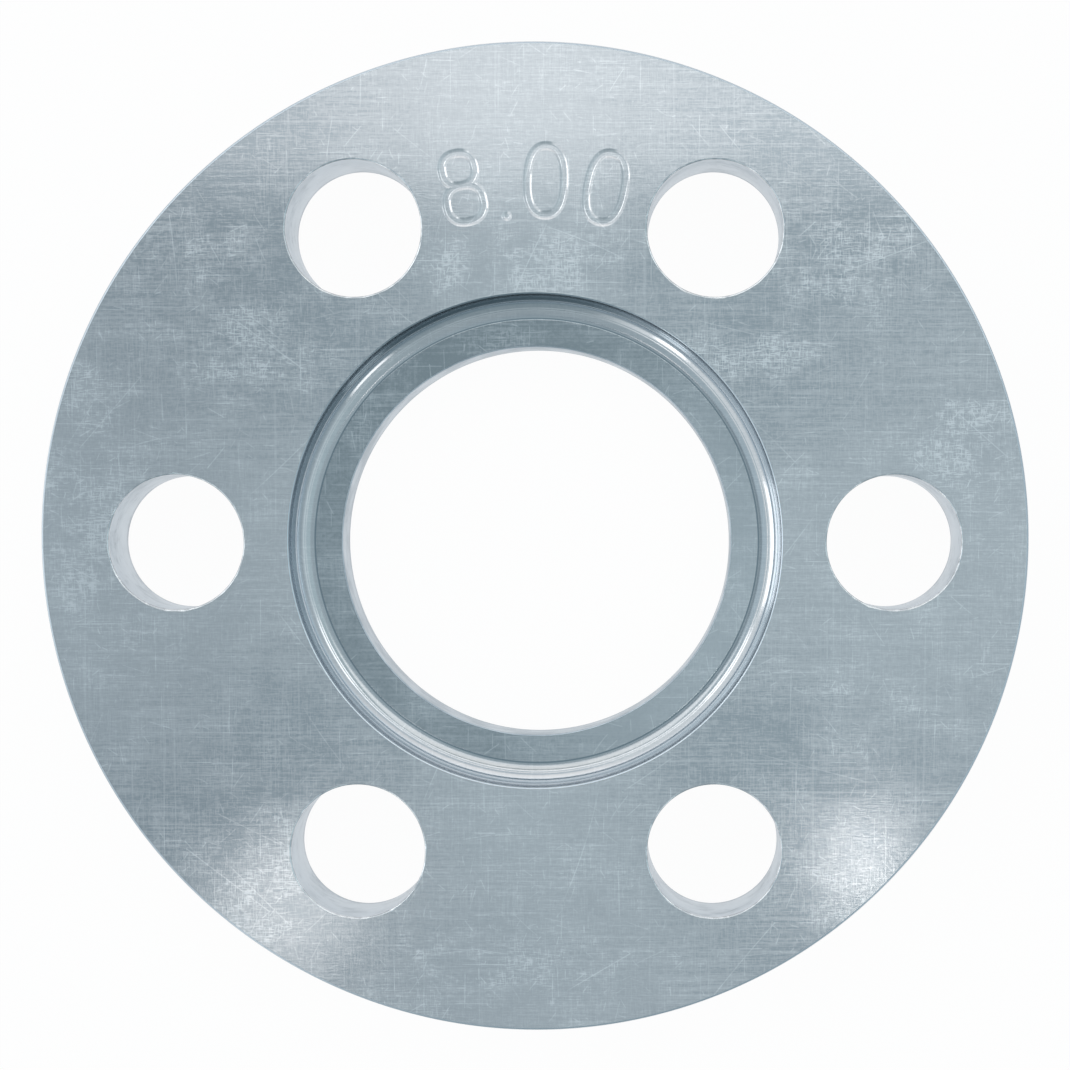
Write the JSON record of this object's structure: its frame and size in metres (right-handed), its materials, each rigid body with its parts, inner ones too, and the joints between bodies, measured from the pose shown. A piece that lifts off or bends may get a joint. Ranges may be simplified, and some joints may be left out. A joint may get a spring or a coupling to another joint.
{
  "type": "adjustment shim",
  "caption": "Round flat steel shim with a central bore, a filleted pilot recess in its front face and a ring of bolt holes.",
  "frame": {"origin": "on the bore axis, at the plain back face that the shim lies on", "axes": "+Z along the bore axis, out of the recessed front face; +X through the centre of one bolt hole"},
  "size_m": [0.088, 0.088, 0.008],
  "materials": {
    "zinc_plated_steel": "bright blue-white zinc plate over finely brushed steel, with fine handling scratches"
  },
  "bodies": {
    "root": {"adjustment_shim": "zinc_plated_steel"}
  },
  "joints": []
}
